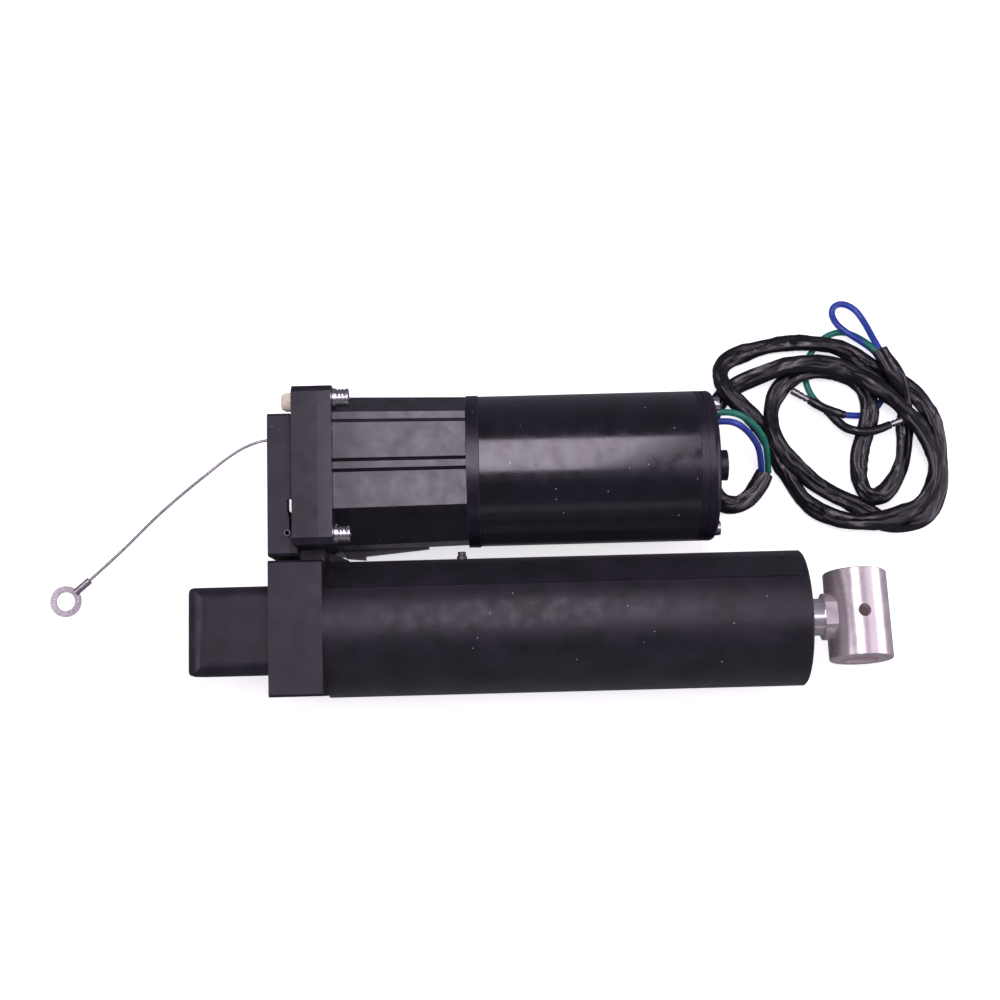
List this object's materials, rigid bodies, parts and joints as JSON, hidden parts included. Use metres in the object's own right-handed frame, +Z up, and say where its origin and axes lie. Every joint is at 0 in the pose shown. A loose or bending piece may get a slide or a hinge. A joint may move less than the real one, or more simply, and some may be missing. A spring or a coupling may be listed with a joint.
{
  "type": "power trim and tilt unit",
  "caption": "Electro-hydraulic outboard trim and tilt unit: ram cylinder on a manifold block beside a gear pump, reservoir and electric motor, with wiring harness.",
  "frame": {"origin": "centre of the lower pivot bore, midway along it", "axes": "+X along the ram, from the lower pivot to the rod end; +Y along the lower pivot bore, from the ram to the motor; +Z up as the unit lies"},
  "size_m": [0.4852, 0.2059, 0.0852],
  "materials": {
    "casting_paint": "satin",
    "tube_paint": "satin",
    "motor_paint": "gloss",
    "bright_steel": "satin",
    "dark_steel": "satin",
    "ground_rod": "polished",
    "nickel": "satin",
    "aluminium": "satin",
    "brass": "satin",
    "copper": "satin",
    "rubber": "matte",
    "bush_plastic": "matte",
    "cream_plastic": "satin",
    "filter_mesh": "woven",
    "ferrite": "matte",
    "phenolic": "satin",
    "carbon": "matte",
    "sleeve_vinyl": "gloss",
    "green_vinyl": "satin",
    "blue_vinyl": "satin",
    "black_vinyl": "satin",
    "tinned": "satin"
  },
  "bodies": {
    "unit": {"manifold_block": "casting_paint", "lower_pivot_bushes": "bush_plastic", "cylinder_tube": "tube_paint", "cylinder_gland": "dark_steel", "gland_o_ring": "rubber", "rod_seal": "rubber", "rod_wiper": "rubber", "bleed_plug": "dark_steel", "valve_body": "casting_paint", "valve_body_screws": "bright_steel", "roll_pin": "dark_steel", "filler_plug": "cream_plastic", "spool_plug": "dark_steel", "reservoir": "casting_paint", "reservoir_seal": "rubber", "reservoir_bolts": "bright_steel", "spring_washers": "bright_steel", "pump_plate": "bright_steel", "pump_body": "aluminium", "pump_screws": "bright_steel", "oil_filter": "filter_mesh", "relief_valves": "brass", "motor_front_ring": "motor_paint", "motor_can": "motor_paint", "motor_magnets": "ferrite", "motor_end_cap": "motor_paint", "motor_bearings": "bright_steel", "through_bolts": "dark_steel", "brush_holder": "phenolic", "brushes": "carbon", "brush_springs": "brass", "wire_grommet": "rubber", "green_motor_lead": "green_vinyl", "blue_motor_lead": "blue_vinyl", "harness_sleeve": "sleeve_vinyl", "green_tail": "green_vinyl", "blue_tail": "blue_vinyl", "green_boot": "black_vinyl", "blue_boot": "black_vinyl", "green_bullet": "tinned", "blue_bullet": "tinned", "lead_ferrule": "tinned", "bonding_lead": "tinned", "ring_terminal": "tinned"},
    "ram_carrier": {"piston_seal": "rubber"},
    "ram": {"piston": "aluminium", "piston_nut": "bright_steel", "piston_rod": "ground_rod", "rod_eye": "nickel"},
    "free_piston": {"free_piston": "aluminium"},
    "armature": {"drive_gear": "bright_steel", "drive_coupling": "dark_steel", "armature_shaft": "bright_steel", "armature_core": "dark_steel", "armature_windings": "copper", "commutator": "copper"},
    "idler": {"idler_gear": "bright_steel"},
    "release": {"release_screw": "bright_steel"},
    "spool": {"shuttle_spool": "bright_steel"}
  },
  "joints": [
    {"name": "ram_slide", "type": "slide", "parent": "unit", "child": "ram_carrier", "axis": [1, 0, 0], "range_m": [0, 0.165]},
    {"name": "ram_turn", "type": "hinge", "parent": "ram_carrier", "child": "ram", "pos_m": [0.2, 0, 0], "axis": [1, 0, 0], "continuous": true},
    {"name": "free_piston_slide", "type": "slide", "parent": "unit", "child": "free_piston", "axis": [1, 0, 0], "range_m": [0, 0.165]},
    {"name": "armature_spin", "type": "hinge", "parent": "unit", "child": "armature", "pos_m": [0.2, 0.078, 0.0083], "axis": [1, 0, 0], "continuous": true},
    {"name": "idler_spin", "type": "hinge", "parent": "unit", "child": "idler", "pos_m": [0.06, 0.063, 0.0083], "axis": [1, 0, 0], "continuous": true},
    {"name": "release_turn", "type": "hinge", "parent": "unit", "child": "release", "pos_m": [0.03825, -0.03, -0.012], "axis": [0, -1, 0], "range_deg": [0, 1170]},
    {"name": "spool_slide", "type": "slide", "parent": "unit", "child": "spool", "axis": [0, 1, 0], "range_m": [-0.002, 0.002]}
  ],
  "couplings": [
    {"joint": "free_piston_slide", "follows": "ram_slide", "ratio": 1},
    {"joint": "idler_spin", "follows": "armature_spin", "ratio": -1}
  ]
}
